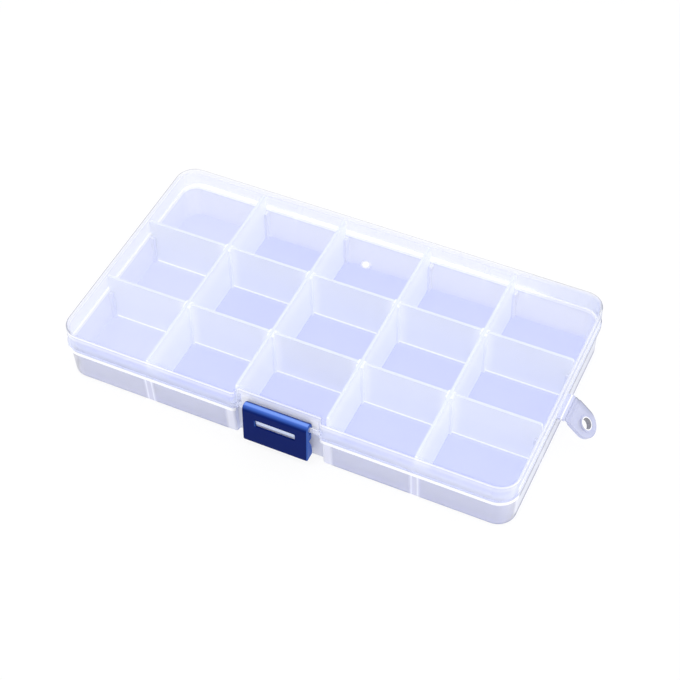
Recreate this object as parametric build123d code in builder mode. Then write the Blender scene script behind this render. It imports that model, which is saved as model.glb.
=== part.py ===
# Clear polypropylene storage box with fifteen compartments, a hinged lid, a latch clip and a hanging tab.
# Millimetres. The origin is the centre of the tray's underside, +X points to the end with the hanging tab,
# the latch is on the front, at -Y, and +Z is up. The lid is modelled closed.
from build123d import *
from math import cos, radians, sin, tan
import os

os.makedirs("parts", exist_ok=True)

# Edges and points this near to a place are taken to lie on it
near = 0.01

# Outside of the box
lid_length = 174.6
lid_width = 96.4
lid_corner = 7.5
total_height = 23.4
seam_height = 14.3

# Lid shell
lid_wall = 1.0
lid_top = 1.1
lid_edge_round = 0.8
bead_height = 1.1
gate_place = 27.0
gate_radius = 1.2
gate_height = 0.12

# The bead and the tray's flange stand proud of the lid's skirt by this much
rim_overhang = 0.35

# Tray shell
flange_thickness = 1.0
wall_inset = 0.55
tray_wall = 1.45
tray_floor = 1.0
side_draft = 0.8
end_draft = 0.1
tray_edge_round = 0.8
lip_height = 1.3
lip_gap = 0.2

# Recess for the latch in the front of both shells
recess_width = 32.4
recess_depth = 2.75
recess_outer_bend = 1.6
recess_inner_bend = 0.9
least_bend = 0.2
bend_room = 0.15

# Partitions and dividers
plate_thickness = 1.1
plate_top_gap = 0.5
centre_column = 35.2
side_column = 34.2
row_offset = 15.9
plate_end_gap = 0.25
lip_clearance = 0.3
shoulder_reach = 0.7
shoulder_round = 1.2
slide_gap = 0.1
guide_rib = 1.1
groove_depth = 1.6
guide_below_seam = 0.3
rib_stand_off = 0.9
rib_below_top = 0.8
rib_end_gap = 0.15

# Rear hinge: pins moulded between lugs on the tray, snap knuckles on the lid
hinge_offset = 2.7
hinge_below_seam = 0.4
hinge_station = 48.0
hinge_pin_radius = 1.1
hinge_pin_length = 15.0
pin_gap = 0.08
knuckle_radius = 2.1
knuckle_end_gap = 0.3
knuckle_mouth = 1.7
lug_radius = 2.0
lug_width = 2.2
lug_foot = 4.8
lug_top_gap = 0.1
strap_thickness = 1.4

# Latch clip and what it works on
bar_radius = 0.9
bar_gap = 0.07
bar_mouth = 1.4
bar_mouth_angle = 135.0
bar_above_seam = 3.2
barrel_radius = 2.15
barrel_clearance = 0.2
latch_side_gap = 3.6
latch_length = 15.0
latch_plate = 1.8
latch_rest_angle = 2.5
latch_corner = 0.5
latch_edge_bevel = 0.3
latch_root_round = 0.5
cheek_width = 3.5
cheek_round = 0.5
cheek_overlap = 0.4
upper_cheek_at = 2.6
upper_cheek_height = 3.1
upper_cheek_back = 1.35
lower_cheek_at = 6.0
lower_cheek_middle = 9.9
lower_cheek_foot = 12.8
lower_cheek_middle_back = 1.3
lower_cheek_back = 1.75
window_width = 15.8
window_height = 3.4
window_at = 2.8
window_corner = 0.6
catch_bar = 0.75
tongue_side_gap = 0.25
tongue_clearance = 0.15
tongue_thickness = 2.6
tongue_chamfer = 0.28

# Hanging tab
tab_width = 11.3
tab_reach = 7.3
tab_thickness = 1.5
tab_film = 0.6
tab_film_length = 1.0
tab_taper = 0.8
tab_droop = 44.5
tab_gap = 0.1
tab_hole_reach = 7.9
tab_hole_radius = 2.15
tab_ring_width = 0.95
tab_ring_height = 0.35
tab_block_reach = 2.75
tab_block_margin = 0.15

# Heights and faces that several pieces share
flange_bottom = seam_height - flange_thickness
lip_top = seam_height + lip_height
cavity_inset = wall_inset + tray_wall
lip_inset = lid_wall + lip_gap
lid_ceiling = total_height - lid_top
plate_top = lid_ceiling - plate_top_gap
shoulder_height = lip_top + lip_clearance
guide_top = seam_height - guide_below_seam

cavity_half_length = lid_length / 2 - cavity_inset
cavity_half_width = lid_width / 2 - cavity_inset
recess_face = lid_width / 2 - recess_depth

partition_places = [
    -centre_column / 2 - side_column,
    -centre_column / 2,
    centre_column / 2,
    centre_column / 2 + side_column,
]
row_places = [-row_offset, row_offset]
guide_offset = plate_thickness / 2 + slide_gap + guide_rib / 2

hinge_y = lid_width / 2 + hinge_offset
hinge_z = seam_height - hinge_below_seam
latch_y = -(recess_face + barrel_radius + barrel_clearance)
latch_z = seam_height + bar_above_seam
latch_width = recess_width - 2 * latch_side_gap
latch_tilt = radians(latch_rest_angle)
tab_root_x = lid_length / 2 + rim_overhang + tab_block_reach
tab_axis_x = tab_root_x + tab_gap + tab_film / 2
tab_axis_z = seam_height + bead_height / 2


def shell_outline(inset, end_taper=0.0, side_taper=0.0):
    """Outline of a shell at one level: a rounded rectangle with the latch recess in its front side.

    The inset is measured inwards from the lid's skirt, and the tapers narrow the ends and the long sides.
    """
    length = lid_length - 2 * (inset + end_taper)
    width = lid_width - 2 * (inset + side_taper)
    depth = width / 2 - (recess_face - inset)
    half_recess = recess_width / 2 + inset
    outer_bend = max(recess_outer_bend - inset, least_bend)
    inner_bend = max(min(recess_inner_bend + inset, depth - outer_bend - bend_room), least_bend)
    with BuildSketch() as outline:
        RectangleRounded(length, width, lid_corner - inset)
        with Locations((0, -width / 2)):
            Rectangle(2 * half_recess, 2 * depth, mode=Mode.SUBTRACT)
        notch = outline.vertices().filter_by_position(Axis.X, -half_recess - near, half_recess + near)
        fillet(notch.filter_by_position(Axis.Y, -width / 2 - near, -width / 2 + near), outer_bend)
        notch = outline.vertices().filter_by_position(Axis.X, -half_recess - near, half_recess + near)
        fillet(notch.filter_by_position(Axis.Y, depth - width / 2 - near, depth - width / 2 + near), inner_bend)
    return outline.sketch


# Space inside the tray, with the guide ribs and groove pads left standing in it
pad_face = recess_face - cavity_inset - plate_end_gap
with BuildPart() as tray_space:
    with BuildSketch(Plane.XY.offset(tray_floor)):
        add(shell_outline(cavity_inset, end_draft, side_draft))
    with BuildSketch(Plane.XY.offset(flange_bottom)):
        add(shell_outline(cavity_inset))
    loft()
    with BuildSketch(Plane.XY.offset(flange_bottom)):
        add(shell_outline(cavity_inset))
    extrude(amount=lip_top - flange_bottom)
    with BuildSketch(Plane.XY.offset(tray_floor)):
        for place in partition_places:
            beside_recess = abs(place) < recess_width / 2 + cavity_inset
            front_end = pad_face if beside_recess else cavity_half_width - side_draft
            back_end = cavity_half_width - side_draft
            for side in (-guide_offset, guide_offset):
                with Locations((place + side, -front_end + groove_depth)):
                    Rectangle(guide_rib, lid_width, align=(Align.CENTER, Align.MAX))
                with Locations((place + side, back_end - groove_depth)):
                    Rectangle(guide_rib, lid_width, align=(Align.CENTER, Align.MIN))
            if beside_recess:
                with Locations((place, -front_end)):
                    Rectangle(2 * guide_offset + guide_rib, lid_width, align=(Align.CENTER, Align.MAX))
        for row in row_places:
            for side in (-guide_offset, guide_offset):
                with Locations((cavity_half_length - end_draft - groove_depth, row + side)):
                    Rectangle(lid_length, guide_rib, align=(Align.MIN, Align.CENTER))
                with Locations((groove_depth + end_draft - cavity_half_length, row + side)):
                    Rectangle(lid_length, guide_rib, align=(Align.MAX, Align.CENTER))
    extrude(amount=guide_top - tray_floor, mode=Mode.SUBTRACT)

# Tray: tapered outside, rim flange, upstanding lip, catch tongue and hinge lugs, then the space inside
tongue_width = window_width - 2 * tongue_side_gap
window_foot = window_at + window_height
channel_face = barrel_radius - catch_bar
tongue_tip = channel_face * cos(latch_tilt) + window_foot * sin(latch_tilt) - latch_y - tongue_clearance
lug_root_y = cavity_half_width + tray_wall / 2
lug_top = seam_height - lug_top_gap
with BuildPart() as base_tray:
    with BuildSketch(Plane.XY):
        add(shell_outline(wall_inset, end_draft, side_draft))
    with BuildSketch(Plane.XY.offset(flange_bottom)):
        add(shell_outline(wall_inset))
    loft()
    fillet(base_tray.faces().sort_by(Axis.Z)[0].edges(), tray_edge_round)
    with BuildSketch(Plane.XY.offset(flange_bottom)):
        add(shell_outline(-rim_overhang))
    extrude(amount=flange_thickness)
    with BuildSketch(Plane.XY.offset(seam_height)):
        add(shell_outline(lip_inset))
    extrude(amount=lip_height)
    with BuildSketch(Plane.XY.offset(seam_height)):
        with Locations((0, -tongue_tip)):
            Rectangle(tongue_width, tongue_tip - recess_face + lid_wall, align=(Align.CENTER, Align.MIN))
    extrude(amount=-tongue_thickness)
    tongue_edges = base_tray.edges().filter_by(Axis.X)
    chamfer(tongue_edges.filter_by_position(Axis.Y, -tongue_tip - near, -tongue_tip + near), tongue_chamfer)
    for station in (-hinge_station, hinge_station):
        for side in (-1, 1):
            lug_x = station + side * (hinge_pin_length + lug_width) / 2
            with BuildSketch(Plane.YZ.offset(lug_x)):
                with Locations((hinge_y, hinge_z)):
                    Circle(lug_radius)
                with BuildLine():
                    Polyline(
                        (hinge_y, lug_top),
                        (lug_root_y, lug_top),
                        (lug_root_y, hinge_z - lug_foot),
                        (hinge_y, hinge_z - lug_radius),
                        close=True,
                    )
                make_face()
            extrude(amount=lug_width / 2, both=True)
        with BuildSketch(Plane.YZ.offset(station)):
            with Locations((hinge_y, hinge_z)):
                Circle(hinge_pin_radius)
        extrude(amount=hinge_pin_length / 2, both=True)
    add(tray_space.part, mode=Mode.SUBTRACT)
base_tray.part.label = "base_tray"
export_step(base_tray.part, "parts/base_tray.step")

# Lid: a shallow shell with a bead round its rim, the latch's bar, two knuckles and the tab's root block
strap_top = hinge_z + knuckle_radius
with BuildPart() as lid:
    with BuildSketch(Plane.XY.offset(seam_height)):
        add(shell_outline(0))
    extrude(amount=total_height - seam_height)
    fillet(lid.faces().sort_by(Axis.Z)[-1].edges(), lid_edge_round)
    with BuildSketch(Plane.XY.offset(seam_height)):
        add(shell_outline(-rim_overhang))
        with Locations((tab_root_x, 0)):
            Rectangle(
                tab_block_reach + rim_overhang + lid_wall,
                tab_width + 2 * tab_block_margin,
                align=(Align.MAX, Align.CENTER),
            )
    extrude(amount=bead_height)
    with BuildSketch(Plane.XY.offset(total_height)):
        with Locations((0, gate_place)):
            Circle(gate_radius)
    extrude(amount=gate_height)
    for station in (-hinge_station, hinge_station):
        with BuildSketch(Plane.YZ.offset(station)):
            with Locations((hinge_y, hinge_z)):
                Circle(knuckle_radius)
            with Locations((hinge_y, strap_top)):
                Rectangle(hinge_offset + lid_wall / 2, strap_thickness, align=(Align.MAX, Align.MAX))
            with Locations((hinge_y, hinge_z)):
                Circle(hinge_pin_radius + pin_gap, mode=Mode.SUBTRACT)
                Rectangle(knuckle_mouth, knuckle_radius, align=(Align.CENTER, Align.MAX), mode=Mode.SUBTRACT)
        extrude(amount=hinge_pin_length / 2 - knuckle_end_gap, both=True)
    with BuildSketch(Plane.XY.offset(seam_height)):
        add(shell_outline(lid_wall))
    extrude(amount=lid_ceiling - seam_height, mode=Mode.SUBTRACT)
    with BuildSketch(Plane.YZ):
        with Locations((latch_y, latch_z)):
            Circle(bar_radius)
    extrude(amount=recess_width / 2 + lid_wall, both=True)
lid.part.label = "lid"
export_step(lid.part, "parts/lid.step")

# Latch clip: drawn in its own plane, X outwards, Y down along the plate, with the pivot at its origin.
# At rest it stands this few degrees off the tongue, so that the lid can lift. Below the window a channel in
# its back lets the tongue's tip pass, and only the thin bar under the window catches when it is snapped in.
latch_plane = Plane(
    origin=(0, latch_y, latch_z),
    x_dir=(0, -cos(latch_tilt), sin(latch_tilt)),
    z_dir=(1, 0, 0),
)
latch_face = Plane(origin=latch_plane.origin, x_dir=(1, 0, 0), z_dir=latch_plane.x_dir)
plate_back = barrel_radius - latch_plate
cheek_middle = (latch_width - cheek_width) / 2
cheek_front = plate_back + cheek_overlap
channel_foot = channel_face - (latch_length - window_foot) * tan(latch_tilt)
with BuildPart() as latch_clip:
    with BuildSketch(latch_plane) as profile:
        Circle(barrel_radius)
        with Locations((plate_back, 0)):
            Rectangle(latch_plate, latch_length, align=(Align.MIN, Align.MIN))
        fillet(profile.vertices().filter_by_position(Axis.Y, near, latch_length / 2), latch_root_round)
    extrude(amount=latch_width / 2, both=True)
    fillet(latch_clip.edges().filter_by(Axis(latch_plane.origin, latch_plane.x_dir)), latch_corner)
    chamfer(latch_clip.faces().filter_by(Axis.X).edges(), latch_edge_bevel)
    with BuildSketch(latch_plane.offset(cheek_middle), latch_plane.offset(-cheek_middle)) as cheeks:
        with Locations((-upper_cheek_back, upper_cheek_at)):
            RectangleRounded(
                upper_cheek_back + cheek_front,
                upper_cheek_height,
                cheek_round,
                align=(Align.MIN, Align.MIN),
            )
        with BuildLine():
            Polyline(
                (cheek_front, lower_cheek_at),
                (plate_back, lower_cheek_at),
                (-lower_cheek_middle_back, lower_cheek_middle),
                (-lower_cheek_back, lower_cheek_foot),
                (-lower_cheek_back, latch_length - cheek_round),
                (cheek_front, latch_length - cheek_round),
                close=True,
            )
        make_face()
    extrude(amount=cheek_width / 2, both=True)
    with BuildSketch(latch_plane):
        Circle(bar_radius + bar_gap)
    extrude(amount=latch_width, both=True, mode=Mode.SUBTRACT)
    with BuildSketch(latch_plane):
        with Locations(Location((0, 0), bar_mouth_angle)):
            Rectangle(barrel_radius + bar_radius, bar_mouth, align=(Align.MIN, Align.CENTER))
    extrude(amount=latch_width, both=True, mode=Mode.SUBTRACT)
    with BuildSketch(latch_face):
        with Locations((0, -window_at)):
            RectangleRounded(window_width, window_height, window_corner, align=(Align.CENTER, Align.MAX))
    extrude(amount=barrel_radius + latch_plate, mode=Mode.SUBTRACT)
    with BuildSketch(latch_plane):
        with BuildLine():
            Polyline(
                (-barrel_radius, window_at),
                (channel_face, window_at),
                (channel_face, window_foot),
                (channel_foot, latch_length),
                (-barrel_radius, latch_length),
                close=True,
            )
        make_face()
    extrude(amount=window_width / 2, both=True, mode=Mode.SUBTRACT)
latch_clip.part.label = "latch_clip"
export_step(latch_clip.part, "parts/latch_clip.step")

# Hanging tab: a film at the root, thickening to an eyelet with a ring on both faces
tab_plane = Plane(
    origin=(tab_axis_x, 0, tab_axis_z),
    x_dir=(cos(radians(tab_droop)), 0, -sin(radians(tab_droop))),
    z_dir=(sin(radians(tab_droop)), 0, cos(radians(tab_droop))),
)
tab_side = Plane(origin=tab_plane.origin, x_dir=tab_plane.x_dir, z_dir=-tab_plane.y_dir)
with BuildPart() as hang_tab:
    with BuildSketch(tab_side):
        Circle(tab_film / 2)
        with BuildLine():
            Polyline(
                (0, tab_film / 2),
                (tab_film_length, tab_film / 2),
                (tab_film_length + tab_taper, tab_thickness / 2),
                (tab_reach + tab_width, tab_thickness / 2),
                (tab_reach + tab_width, -tab_thickness / 2),
                (tab_film_length + tab_taper, -tab_thickness / 2),
                (tab_film_length, -tab_film / 2),
                (0, -tab_film / 2),
                close=True,
            )
        make_face()
    extrude(amount=tab_width / 2, both=True)
    with BuildSketch(tab_plane):
        with Locations((-tab_film, 0)):
            Rectangle(tab_reach + tab_film, tab_width, align=(Align.MIN, Align.CENTER))
        with Locations((tab_reach, 0)):
            Circle(tab_width / 2)
    extrude(amount=tab_thickness, both=True, mode=Mode.INTERSECT)
    with BuildSketch(tab_plane):
        with Locations((tab_hole_reach, 0)):
            Circle(tab_hole_radius + tab_ring_width)
    extrude(amount=tab_thickness / 2 + tab_ring_height, both=True)
    with BuildSketch(tab_plane):
        with Locations((tab_hole_reach, 0)):
            Circle(tab_hole_radius)
    extrude(amount=tab_thickness, both=True, mode=Mode.SUBTRACT)
hang_tab.part.label = "hang_tab"
export_step(hang_tab.part, "parts/hang_tab.step")


def stepped_end(wall_at_floor, wall_at_rim, outward):
    """Points up one end of a plate: along the drafted wall, out over the lip and up to the top."""
    floor_end = wall_at_floor - plate_end_gap
    rim_end = wall_at_rim - plate_end_gap
    return [
        (outward * floor_end, tray_floor),
        (outward * rim_end, flange_bottom),
        (outward * rim_end, shoulder_height),
        (outward * (rim_end + shoulder_reach), shoulder_height),
        (outward * (rim_end + shoulder_reach), plate_top),
    ]


# Cross partitions: stepped plates from front to back, with guide ribs on both faces for the short dividers
rib_height = plate_top - rib_below_top - tray_floor
for number, place in enumerate(partition_places, start=1):
    back_points = stepped_end(cavity_half_width - side_draft, cavity_half_width, 1)
    if abs(place) < recess_width / 2 + cavity_inset:
        front_points = stepped_end(pad_face, pad_face, -1)
    else:
        front_points = stepped_end(cavity_half_width - side_draft, cavity_half_width, -1)
    with BuildPart() as cross_partition:
        with BuildSketch(Plane.YZ.offset(place)) as plate:
            with BuildLine():
                Polyline(*back_points, *reversed(front_points), close=True)
            make_face()
            fillet(plate.vertices().group_by(Axis.Y)[-1], shoulder_round)
        extrude(amount=plate_thickness / 2, both=True)
        with BuildSketch(Plane.XY.offset(tray_floor)):
            for row in row_places:
                with Locations((place, row - guide_offset), (place, row + guide_offset)):
                    Rectangle(plate_thickness + 2 * rib_stand_off, guide_rib)
        extrude(amount=rib_height)
    cross_partition.part.label = f"cross_partition_{number}"
    export_step(cross_partition.part, f"parts/cross_partition_{number}.step")

# Short dividers: two in each column, those of the end columns stepped over the lip as well
column_walls = [None] + partition_places + [None]
for row_name, row in zip(("front", "back"), row_places):
    for column in range(1, len(column_walls)):
        left_wall, right_wall = column_walls[column - 1], column_walls[column]
        plate_side = plate_thickness / 2 + rib_end_gap
        if left_wall is None:
            left_points = stepped_end(cavity_half_length - end_draft, cavity_half_length, -1)
        else:
            left_points = [(left_wall + plate_side, tray_floor), (left_wall + plate_side, plate_top)]
        if right_wall is None:
            right_points = stepped_end(cavity_half_length - end_draft, cavity_half_length, 1)
        else:
            right_points = [(right_wall - plate_side, tray_floor), (right_wall - plate_side, plate_top)]
        with BuildPart() as short_divider:
            with BuildSketch(Plane.XZ.offset(-row)) as plate:
                with BuildLine():
                    Polyline(*right_points, *reversed(left_points), close=True)
                make_face()
                fillet(plate.vertices().group_by(Axis.Y)[-1], shoulder_round)
            extrude(amount=plate_thickness / 2, both=True)
        short_divider.part.label = f"short_divider_{row_name}_{column}"
        export_step(short_divider.part, f"parts/short_divider_{row_name}_{column}.step")
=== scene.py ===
from math import cos, radians, sin

import bpy
import numpy as np
from mathutils import Matrix, Vector

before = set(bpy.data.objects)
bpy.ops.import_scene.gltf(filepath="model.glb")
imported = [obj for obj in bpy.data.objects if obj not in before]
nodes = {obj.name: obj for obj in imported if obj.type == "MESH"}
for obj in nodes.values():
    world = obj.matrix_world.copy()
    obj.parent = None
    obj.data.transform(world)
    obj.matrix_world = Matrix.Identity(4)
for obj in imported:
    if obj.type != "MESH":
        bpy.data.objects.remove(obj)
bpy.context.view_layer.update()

# The looks of a storage box moulded in natural polypropylene, with an opaque blue latch clip.
# Metres. The box stands on z = 0, its front with the latch faces -Y and its hanging tab +X.
# Every piece is a carried-over solid, so what follows gives finishes, floor, light and camera.

MM = 0.001

# Places on the box in millimetres, which the finishes go by.
SEAM = 14.3                   # where the lid meets the tray's flange
LID_TOP = 23.4
CORNER = (79.8, 40.7)         # middle of the arc that rounds a corner of the box
COLUMNS = (17.6, 51.8)        # cross partitions, on both sides of the middle
ROW = 15.9                    # rows of short dividers, on both sides of the middle
LATCH_BAR = 17.5              # height of the bar that the latch clip turns on
HINGE = 48.6                  # the rear hinge lies behind this
GATE = (0, 27, 23.5)          # the mark where the lid's mould was filled
HOLE = (96.435, 0, 9.313)     # middle of the hanging hole
TAB_DROOP = radians(44.5)
FAR = 1000.0                  # past the end of the box
WAY = 0.65                    # how much of a plain wall's veil a face has when seen straight on


def linear(hex_colour):
    """Linear red, green, blue and 1 from an sRGB hex colour, by the sRGB curve."""
    srgb = np.array([int(hex_colour[i:i + 2], 16) for i in (1, 3, 5)]) / 255
    rgb = np.where(srgb <= 0.04045, srgb / 12.92, ((srgb + 0.055) / 1.055) ** 2.4)
    return (*rgb.tolist(), 1.0)


def add(tree, kind, links=None, **settings):
    """A new node of this kind, with its properties set and each input in links given a socket or a value."""
    node = tree.nodes.new(kind)
    for name, value in settings.items():
        setattr(node, name, value)
    for name, value in (links or {}).items():
        if isinstance(value, bpy.types.NodeSocket):
            tree.links.new(value, node.inputs[name])
        else:
            node.inputs[name].default_value = value
    return node


def new_material(name):
    """An empty node material and its tree."""
    material = bpy.data.materials.new(name)
    material.use_nodes = True
    material.node_tree.nodes.clear()
    return material, material.node_tree


def math(tree, operation, *values):
    """The result of a math node on sockets or numbers."""
    return add(tree, "ShaderNodeMath", dict(enumerate(values)), operation=operation).outputs["Value"]


def vector_math(tree, operation, *vectors):
    """A vector math node on sockets or vectors."""
    return add(tree, "ShaderNodeVectorMath", dict(enumerate(vectors)), operation=operation).outputs


def ramp(tree, value, start, end, low=0.0, high=1.0):
    """A smooth way from low to high as value goes from start to end."""
    return add(tree, "ShaderNodeMapRange",
               {"Value": value, "From Min": start, "From Max": end, "To Min": low, "To Max": high},
               interpolation_type="SMOOTHSTEP").outputs["Result"]


def band(tree, value, low, high, soft):
    """A mask that is 1 while value lies between low and high, with edges this soft."""
    return math(tree, "MULTIPLY", ramp(tree, value, low - soft, low + soft),
                ramp(tree, value, high - soft, high + soft, 1.0, 0.0))


def blend(tree, mask, first, second):
    """The first number where the mask is 0 and the second where it is 1."""
    return add(tree, "ShaderNodeMix", {"Factor": mask, "A": first, "B": second}).outputs["Result"]


def blend_colour(tree, mask, first, second):
    """The first colour where the mask is 0 and the second where it is 1."""
    return add(tree, "ShaderNodeMix", {"Factor": mask, "A": first, "B": second},
               data_type="RGBA").outputs["Result"]


def quantities(tree):
    """What the zones of a finish go by: place in the object, and facing.

    across and along are the distances from the middle planes of the box. rim is the distance outwards from
    the rectangle through the middles of the box's corner arcs. from_partition is the distance to the nearest
    cross partition, from_row to the nearest row of dividers, from_hole to the middle of the hanging hole and
    from_gate to the middle of the gate mark. facing is the level part of the outward normal along the level
    direction from the box's middle: near 1 on outer walls and near -1 on inner walls. The shader's normal
    turns towards the ray, so it is turned back on back faces. bore is the cosine to the hole's axis.
    """
    place = add(tree, "ShaderNodeTexCoord").outputs
    split = add(tree, "ShaderNodeSeparateXYZ", {"Vector": place["Object"]}).outputs
    across, along = (math(tree, "ABSOLUTE", split[axis]) for axis in ("X", "Y"))

    level = vector_math(tree, "MULTIPLY", place["Object"], (1, 1, 0))["Vector"]
    outwards = vector_math(tree, "NORMALIZE", level)["Vector"]
    outward = vector_math(tree, "DOT_PRODUCT", outwards, place["Normal"])["Value"]
    back_face = add(tree, "ShaderNodeNewGeometry").outputs["Backfacing"]
    facing = math(tree, "MULTIPLY", outward, math(tree, "MULTIPLY_ADD", back_face, -2.0, 1.0))

    middle, half = (COLUMNS[0] + COLUMNS[1]) / 2 * MM, (COLUMNS[1] - COLUMNS[0]) / 2 * MM
    folded = math(tree, "ABSOLUTE", math(tree, "SUBTRACT", across, middle))
    past = [math(tree, "MAXIMUM", math(tree, "SUBTRACT", distance, centre * MM), 0.0)
            for distance, centre in ((across, CORNER[0]), (along, CORNER[1]))]
    past_corner = add(tree, "ShaderNodeCombineXYZ", {"X": past[0], "Y": past[1]}).outputs["Vector"]
    hole, gate = (vector_math(tree, "DISTANCE", place["Object"], [length * MM for length in centre])["Value"]
                  for centre in (HOLE, GATE))
    axis = (sin(TAB_DROOP), 0, cos(TAB_DROOP))
    return {"x": split["X"], "y": split["Y"], "height": split["Z"], "across": across, "along": along,
            "rim": vector_math(tree, "LENGTH", past_corner)["Value"], "facing": facing,
            "from_partition": math(tree, "ABSOLUTE", math(tree, "SUBTRACT", folded, half)),
            "from_row": math(tree, "ABSOLUTE", math(tree, "SUBTRACT", along, ROW * MM)),
            "from_hole": hole, "from_gate": gate,
            "bore": math(tree, "ABSOLUTE", vector_math(tree, "DOT_PRODUCT", place["Normal"], axis)["Value"])}


def where(quantity, low, high, soft=0.04):
    """The place where this quantity lies between these millimetres, with edges this soft."""
    return quantity, low * MM, high * MM, soft * MM


def zone(colour, cover, *places, glow=0.0):
    """A colour, cover and glow for the surface that lies in all these places."""
    return places, colour, cover, glow


def polypropylene(name, body, cover, zones, glow=0.0):
    """Natural polypropylene, injection moulded: each face veils what is behind it with scattered light.

    body and cover are the colour and the share of a plain face seen about straight on: the veil goes with the
    length of the way through the wall, as 1 - (1 - cover) ** (WAY / cosine). A face seen along its length
    is painted grey, as painted shade like that of a thick wall. The zones paint light and shade on the faces:
    rims, rounds and plate edges are painted whiter and given a little glow of their own, as painted light for
    the light that is piped inside the walls and leaves where they end. A later zone lies over the earlier
    ones.
    Lamps reach what is inside, as the light that a wall scatters goes on inwards.
    """
    thinnest_cosine, outline_start, outline_end, outline_share = 0.15, 0.78, 0.98, 0.8
    material, tree = new_material(name)
    measure = quantities(tree)
    colour, veil = linear(body), cover
    for places, zone_colour, zone_cover, zone_glow in zones:
        here = 1.0
        for quantity, low, high, soft in places:
            here = math(tree, "MULTIPLY", here, band(tree, measure[quantity], low, high, soft))
        colour = blend_colour(tree, here, colour, linear(zone_colour))
        veil = blend(tree, here, veil, zone_cover)
        glow = blend(tree, here, glow, zone_glow)
    # Faces seen along their length are painted grey towards the outline, as painted shade.
    grazing = add(tree, "ShaderNodeLayerWeight", {"Blend": 0.5}).outputs["Facing"]
    cosine = math(tree, "MAXIMUM", math(tree, "SUBTRACT", 1.0, grazing), thinnest_cosine)
    painted_grazing_shade = ramp(tree, grazing, outline_start, outline_end, 0.0, outline_share)
    colour = blend_colour(tree, painted_grazing_shade, colour, linear("#9a9eb2"))
    through = math(tree, "POWER", math(tree, "SUBTRACT", 1.0, veil), math(tree, "DIVIDE", WAY, cosine))
    lamp_ray = add(tree, "ShaderNodeLightPath").outputs["Is Shadow Ray"]
    seen = math(tree, "MULTIPLY", math(tree, "SUBTRACT", 1.0, through),
                math(tree, "SUBTRACT", 1.0, lamp_ray))
    # The zones' glow is emission: painted light, though these faces are no lamps.
    shader = add(tree, "ShaderNodeBsdfPrincipled",
                 {"Base Color": colour, "Alpha": seen, "Roughness": 0.3, "IOR": 1.49,
                  "Emission Color": colour, "Emission Strength": glow})
    add(tree, "ShaderNodeOutputMaterial", {"Surface": shader.outputs["BSDF"]})
    return material


def blue_latch():
    """Blue polypropylene, injection moulded and opaque: a fine matt plate, and a polished barrel over the bar.

    The barrel is painted paler towards its top, as a painted highlight where it also shines, and dark again on
    its back towards the recess, as painted shade. The clip's right end is painted paler too, as painted light.
    """
    material, tree = new_material("opaque_blue_polypropylene_moulded")
    place = add(tree, "ShaderNodeTexCoord").outputs
    normal = add(tree, "ShaderNodeSeparateXYZ", {"Vector": place["Normal"]}).outputs
    height = add(tree, "ShaderNodeSeparateXYZ", {"Vector": place["Object"]}).outputs["Z"]
    # Painted highlight: the barrel's colour turns paler towards its top and palest on its crest.
    barrel, crest_highlight = (ramp(tree, height, (LATCH_BAR + start) * MM, (LATCH_BAR + end) * MM)
                     for start, end in ((0.7, 2.6), (1.9, 2.18)))
    # Painted light on the clip's right end, and painted shade on faces turned back towards the recess.
    right_end_painted_light = ramp(tree, normal["X"], 0.2, 0.6)
    back = ramp(tree, normal["Y"], 0.1, 0.6)
    colour = blend_colour(tree, barrel, linear("#041a5f"), linear("#4670d4"))
    colour = blend_colour(tree, crest_highlight, colour, linear("#7095ea"))
    colour = blend_colour(tree, right_end_painted_light, colour, linear("#3558a6"))
    colour = blend_colour(tree, back, colour, linear("#15307a"))
    gloss = math(tree, "MULTIPLY_ADD", crest_highlight, 0.35, 0.04)
    shader = add(tree, "ShaderNodeBsdfPrincipled",
                 {"Base Color": colour, "Roughness": 0.35, "IOR": 1.49, "Specular IOR Level": gloss})
    add(tree, "ShaderNodeOutputMaterial", {"Surface": shader.outputs["BSDF"]})
    return material


def dress(name, material):
    """Gives every slot of a carried-over solid this material."""
    mesh = nodes[name].data
    mesh.materials.clear()
    mesh.materials.append(material)


OUTSIDE = ("facing", 0.25, 2, 0.1)
INSIDE = ("facing", -2, -0.25, 0.1)
OUTER_WALL = where("rim", 5.9, FAR)
FRONT = where("y", -FAR, -44, 1)
BACK = where("y", 42, FAR, 1)
LEFT = where("x", -FAR, -82, 1)
RIGHT = where("x", 83, FAR, 1)
BEHIND_FRONT = where("y", -42, FAR, 1)
SHORT_OF_RIGHT = where("x", -FAR, 62, 10)
FLOOR = where("height", -1, 1.02)
SKIRT_ROOT = where("height", 21.5, 22.3, 0.2)
PLATE_TOP = where("height", 21.6, 22.0)
HINGE_PARTS = where("y", HINGE, FAR)

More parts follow.
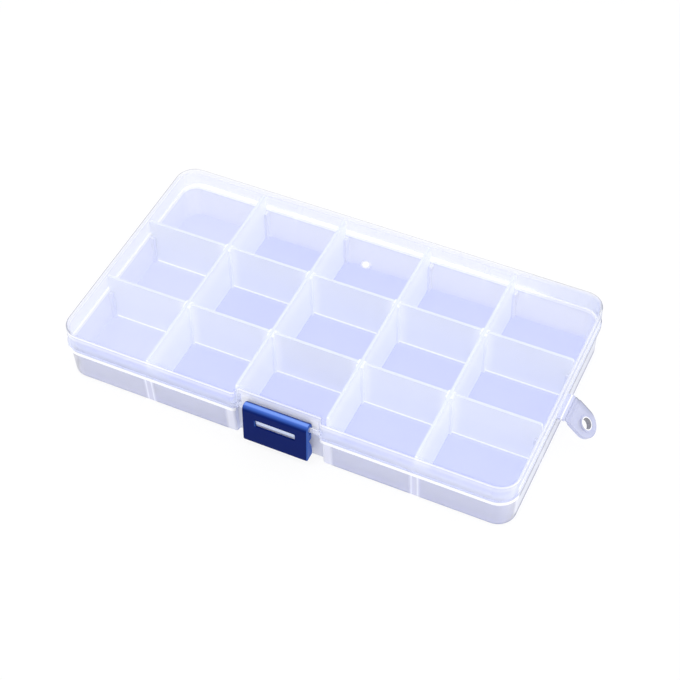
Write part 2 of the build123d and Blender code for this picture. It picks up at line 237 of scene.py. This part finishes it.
tray_finish = polypropylene("natural_polypropylene_tray", "#e4e9ff", 0.6, [
    # Outer walls are painted greyer than inner ones, as shade, and the right one is painted paler, as light,
    # but for its foot, which is painted dark, as shade.
    zone("#ccccd4", 0.45, OUTSIDE, OUTER_WALL),
    zone("#e6e8f2", 0.6, OUTSIDE, OUTER_WALL, RIGHT, BEHIND_FRONT),
    zone("#7c8196", 0.85, OUTSIDE, OUTER_WALL, RIGHT, BEHIND_FRONT, where("height", -1, 2.6, 1.4)),
    # The floor is denser and painted bluest, as the shade under the box, paler at the left end, as painted
    # light, and dark where the front wall turns into it, as painted shade.
    zone("#aeb8f4", 0.74, FLOOR),
    zone("#c9cffa", 0.74, FLOOR, where("x", -FAR, -COLUMNS[1], 8)),
    zone("#9296a8", 0.88, where("height", -1, 0.9, 0.2), where("rim", 5.6, FAR, 0.1),
         where("y", -FAR, -38, 4)),
    # Guide ribs show through the walls as white lines, painted whiter as light, with a strip between and
    # beside them painted paler, as less shade.
    zone("#dfdfec", 0.52, where("from_partition", -FAR, 2.0, 0.4), where("along", 44, 48), OUTSIDE),
    zone("#f4f6ff", 0.6, where("from_partition", 0.85, 1.5, 0.15), where("along", 46.5, 48)),
    zone("#f4f6ff", 0.6, where("from_row", 0.85, 1.5, 0.15), where("across", 86.2, 87)),
    # The rounds beside the latch recess, and the recess itself, are painted whiter, as light.
    zone("#f0f1fa", 0.65, where("across", 16, 20.5, 0.8), where("y", -FAR, -43), OUTSIDE),
    zone("#f6f7fd", 0.7, where("y", -46, -44), where("across", -FAR, 17), OUTSIDE),
    # Under the seam the flange is a painted white line with a little glow, as light, over its own painted
    # shade, and painted grey, as shade, on the right side.
    zone("#9b9ead", 0.6, where("height", SEAM - 2.0, SEAM - 1.6), OUTSIDE),
    zone("#fcfcff", 0.8, where("height", SEAM - 1.6, SEAM), OUTSIDE, glow=0.05),
    zone("#9da2b4", 0.85, where("height", SEAM - 1.6, SEAM - 0.1), OUTSIDE, RIGHT, BEHIND_FRONT),
    # The lip inside the lid's skirt, painted white with a glow, as light, strongest at the back.
    zone("#ffffff", 0.7, where("height", SEAM, SEAM + 1.4), BEHIND_FRONT, glow=0.02),
    zone("#ffffff", 0.8, where("height", SEAM, SEAM + 1.4), BACK, SHORT_OF_RIGHT, glow=0.16),
    # The catch tongue is thick and nearly white, and fills the clip's window.
    zone("#dce6ff", 0.97, where("height", 11.5, SEAM + 1), where("y", -FAR, -45.2),
         where("across", -FAR, 8)),
    zone("#f6f8ff", 0.12, HINGE_PARTS)])

lid_finish = polypropylene("natural_polypropylene_lid", "#eaeeff", 0.26, [
    # The skirt, painted bluer as shade at the back's right end and paler as light at the front's right end.
    zone("#dadff5", 0.26, OUTSIDE),
    zone("#ccd6f6", 0.4, BACK, where("x", 62, FAR, 22)),
    zone("#eceffc", 0.34, OUTSIDE, FRONT, where("x", 32, FAR, 20)),
    # The top plate is clearest. Where the skirt starts under it, a white band with a glow is painted light,
    # for the piped light that leaves there.
    zone("#f4f6ff", 0.12, where("height", 22.25, 24)),
    zone("#ffffff", 0.7, SKIRT_ROOT, INSIDE, BACK, SHORT_OF_RIGHT, glow=0.12),
    zone("#ffffff", 0.5, SKIRT_ROOT, INSIDE, LEFT, glow=0.02),
    # The bead along the seam: its face, its upper ledge in painted shade, and its lower edge painted white as
    # light, with a glow, most at the back.
    zone("#d6daea", 0.4, where("height", SEAM, SEAM + 1.15), OUTSIDE),
    zone("#d4d8ea", 0.34, where("height", SEAM + 1.02, SEAM + 1.3), where("y", -FAR, -40, 1)),
    zone("#fcfcff", 0.75, where("height", SEAM - 0.1, SEAM + 0.6), OUTSIDE, glow=0.05),
    zone("#ffffff", 0.8, where("height", SEAM, SEAM + 1.1), BACK, SHORT_OF_RIGHT, glow=0.2),
    zone("#fafbff", 0.7, where("height", SEAM, SEAM + 1.1), LEFT),
    # On the right side the skirt is painted paler as light, white with a glow just over the bead, and the bead
    # painted grey as shade.
    zone("#fafcff", 0.5, where("height", SEAM + 0.9, 19, 0.5), OUTSIDE, RIGHT, BEHIND_FRONT),
    zone("#ffffff", 0.8, where("height", SEAM + 0.9, SEAM + 2, 0.2), OUTSIDE, RIGHT, BEHIND_FRONT, glow=0.08),
    zone("#9da2b4", 0.85, where("height", SEAM - 0.1, SEAM + 0.95), OUTSIDE, RIGHT, BEHIND_FRONT),
    # The root block of the hanging tab, with a white edge painted as highlight.
    zone("#ccd0ea", 0.75, where("x", 87.8, FAR)),
    zone("#ffffff", 0.85, where("x", 88.9, 89.4)),
    # The round between top and skirt, painted whiter as light at the front and right side, with a glow along
    # the front.
    zone("#fafbff", 0.4, where("height", 20.4, 22.4, 0.9), OUTSIDE, FRONT),
    zone("#ffffff", 0.6, where("height", 22.3, 23.1), OUTSIDE, where("y", -FAR, -38, 3), glow=0.05),
    zone("#fafbff", 0.35, where("height", 22.3, 23.3), OUTSIDE, RIGHT, BEHIND_FRONT),
    # Thin grey outlines of painted shade, where one looks along the round of the back, left and right edges.
    zone("#a4a8bb", 0.26, where("rim", 7.0, FAR), where("height", 22.6, FAR), BACK),
    zone("#9296a8", 0.35, where("rim", 7.1, FAR), where("height", 22.4, FAR), BACK, where("x", 55, FAR, 15)),
    zone("#8a8ea2", 0.5, where("rim", 6.9, FAR), where("height", 22.9, FAR), LEFT),
    zone("#9ca0b2", 0.3, where("rim", 6.9, FAR), where("x", 85, FAR, 1), where("y", 42.6, 46, 0.8)),
    # The recess wall behind the latch, painted white with a glow, as light, and the gate mark.
    zone("#ffffff", 0.6, where("y", -47, -44), where("across", -FAR, 15), where("height", 15, 20.5, 1),
         glow=0.06),
    zone("#ffffff", 0.5, where("from_gate", -FAR, 1.7, 0.4)),
    zone("#ffffff", 0.9, where("height", LID_TOP + 0.02, 24)),
    zone("#f6f8ff", 0.12, HINGE_PARTS)])

# Plates that scatter light all through, with a painted glow all over, strongest near their tops, and painted
# shade on their top faces.
partition_finish = polypropylene("natural_polypropylene_partitions", "#eef2ff", 0.9, [
    zone("#f4f7ff", 0.9, where("height", 15, 21.6, 3), glow=0.08),
    zone("#e4eafa", 0.75, PLATE_TOP)], glow=0.05)
# Dividers have painted light with a glow near the partitions, painted shade on their top faces, and a white
# line with a strong glow at their feet, painted light.
divider_finish = polypropylene("natural_polypropylene_dividers", "#f2f6ff", 0.8, [
    zone("#fafcff", 0.88, where("from_partition", -FAR, 3, 2.5), glow=0.08),
    zone("#edf3ff", 0.75, PLATE_TOP),
    zone("#ffffff", 0.9, where("height", 0.9, 1.9), glow=0.25)])

# The tab's side is painted dark as shade, and its hole has a white ring painted as highlight and a grey wall
# painted as shade.
tab_finish = polypropylene("natural_polypropylene_tab", "#c2c6e2", 0.7, [
    zone("#8e92a3", 0.85, where("y", 5.25, 6)),
    zone("#ffffff", 0.95, where("from_hole", 2.1, 2.7, 0.05)),
    zone("#98989c", 0.95, where("from_hole", 0, 2.6, 0.03), ("bore", -2, 0.5, 0.1))])

dress("base_tray", tray_finish)
dress("lid", lid_finish)
dress("hang_tab", tab_finish)
dress("latch_clip", blue_latch())
for name in nodes:
    if name.startswith("cross_partition"):
        dress(name, partition_finish)
    elif name.startswith("short_divider"):
        dress(name, divider_finish)


def photo_camera():
    """A camera at the photograph's viewing angle, which looks at the target from this distance."""
    azimuth, elevation, roll = radians(25.75), radians(48.468), radians(-1.104)
    target, distance = Vector((1.719, 0.201, 9.65)) * MM, 609.1 * MM
    back = Vector((sin(azimuth) * cos(elevation), -cos(azimuth) * cos(elevation), sin(elevation)))
    level = Vector((cos(azimuth), sin(azimuth), 0))
    upright = back.cross(level)
    right = level * cos(roll) + upright * sin(roll)
    upwards = upright * cos(roll) - level * sin(roll)
    data = bpy.data.cameras.new("camera")
    data.lens, data.sensor_width = 87.89, 36.0
    data.clip_start, data.clip_end = 0.01, 20.0
    camera = bpy.data.objects.new("camera", data)
    bpy.context.scene.collection.objects.link(camera)
    turn = Matrix((right, upwards, back)).transposed()
    camera.matrix_world = Matrix.Translation(target + back * distance) @ turn.to_4x4()
    bpy.context.scene.camera = camera


def seen_directly(tree):
    """1 for rays that show the background to the camera, straight, mirrored or through glass."""
    path = add(tree, "ShaderNodeLightPath").outputs
    seen = math(tree, "MAXIMUM", path["Is Camera Ray"], path["Is Glossy Ray"])
    return math(tree, "MAXIMUM", seen, path["Is Transmission Ray"])


def white_world():
    """A white sky: full white where it is seen, and plain soft light on the box."""
    light_on_box = 0.82
    world = bpy.data.worlds.new("white_sky")
    world.use_nodes = True
    tree = world.node_tree
    tree.nodes.clear()
    level = blend(tree, seen_directly(tree), light_on_box, 1.0)
    sky = add(tree, "ShaderNodeBackground", {"Color": (1, 1, 1, 1), "Strength": level})
    add(tree, "ShaderNodeOutputWorld", {"Surface": sky.outputs["Background"]})
    bpy.context.scene.world = world


def pale_floor():
    """A plain white floor, which shows white where it is lit and keeps a faint shadow."""
    half, drop, share_of_white = 3.0, 0.1 * MM, 0.86
    mesh = bpy.data.meshes.new("floor")
    mesh.from_pydata([(-half, -half, -drop), (half, -half, -drop), (half, half, -drop), (-half, half, -drop)],
                     [], [(0, 1, 2, 3)])
    floor = bpy.data.objects.new("floor", mesh)
    bpy.context.scene.collection.objects.link(floor)
    material, tree = new_material("white_studio_floor")
    lit = add(tree, "ShaderNodeBsdfDiffuse", {"Color": (0.93, 0.93, 0.95, 1)})
    white = add(tree, "ShaderNodeEmission", {"Color": (1, 1, 1, 1), "Strength": 1.0})
    share = math(tree, "MULTIPLY", seen_directly(tree), share_of_white)
    mixed = add(tree, "ShaderNodeMixShader", {0: share, 1: lit.outputs["BSDF"], 2: white.outputs["Emission"]})
    add(tree, "ShaderNodeOutputMaterial", {"Surface": mixed.outputs["Shader"]})
    mesh.materials.append(material)


def softbox(name, place, size, power):
    """A square soft lamp that faces the middle of the box."""
    data = bpy.data.lights.new(name, "AREA")
    data.shape, data.size, data.energy = "SQUARE", size, power
    lamp = bpy.data.objects.new(name, data)
    bpy.context.scene.collection.objects.link(lamp)
    lamp.location = place
    lamp.rotation_euler = Vector(place).to_track_quat("Z", "Y").to_euler()


photo_camera()
white_world()
pale_floor()
softbox("key", (0.9, -0.1, 0.7), 0.7, 3.5)
softbox("overhead", (-0.29, -0.35, 0.9), 0.4, 2.5)

scene = bpy.context.scene
scene.view_settings.view_transform = "Standard"
scene.cycles.transparent_max_bounces = 32        # a ray may pass all the walls of the box
